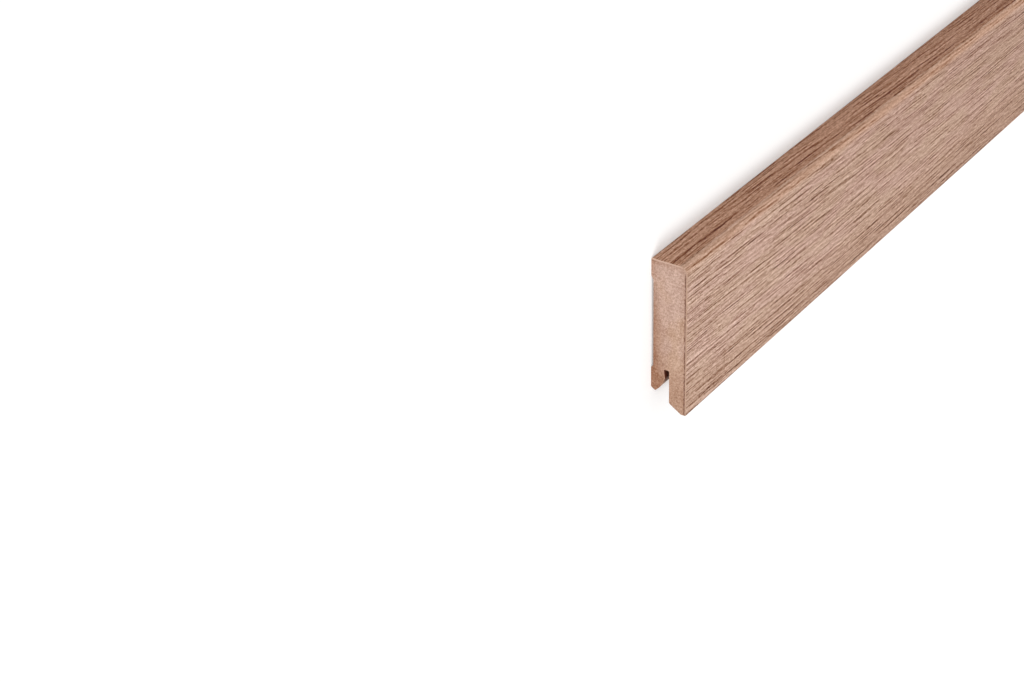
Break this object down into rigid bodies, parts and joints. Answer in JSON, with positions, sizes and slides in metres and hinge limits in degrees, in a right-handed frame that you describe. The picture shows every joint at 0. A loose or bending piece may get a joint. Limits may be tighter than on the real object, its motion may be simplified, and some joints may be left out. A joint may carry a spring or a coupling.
{
  "type": "skirting board length",
  "caption": "Length of wrapped skirting board: a moulded fibreboard core with an oak veneer face and rounded top edge, relieved back and clip slot.",
  "frame": {"origin": "middle of the length and of the height, on the plane of the back's lands, which is what the board lies on", "axes": "+X along the length, +Y from the foot edge to the rounded top edge, +Z out of the face; on a wall +Z points into the room and +Y points up"},
  "size_m": [2.4, 0.058, 0.014],
  "materials": {
    "fibreboard": "medium density fibreboard, moulded and saw-cut, matt",
    "oak_veneer": "oak veneer with open dark pores, satin lacquer"
  },
  "bodies": {
    "root": {"mdf_core": "fibreboard", "oak_veneer": "oak_veneer"}
  },
  "joints": []
}
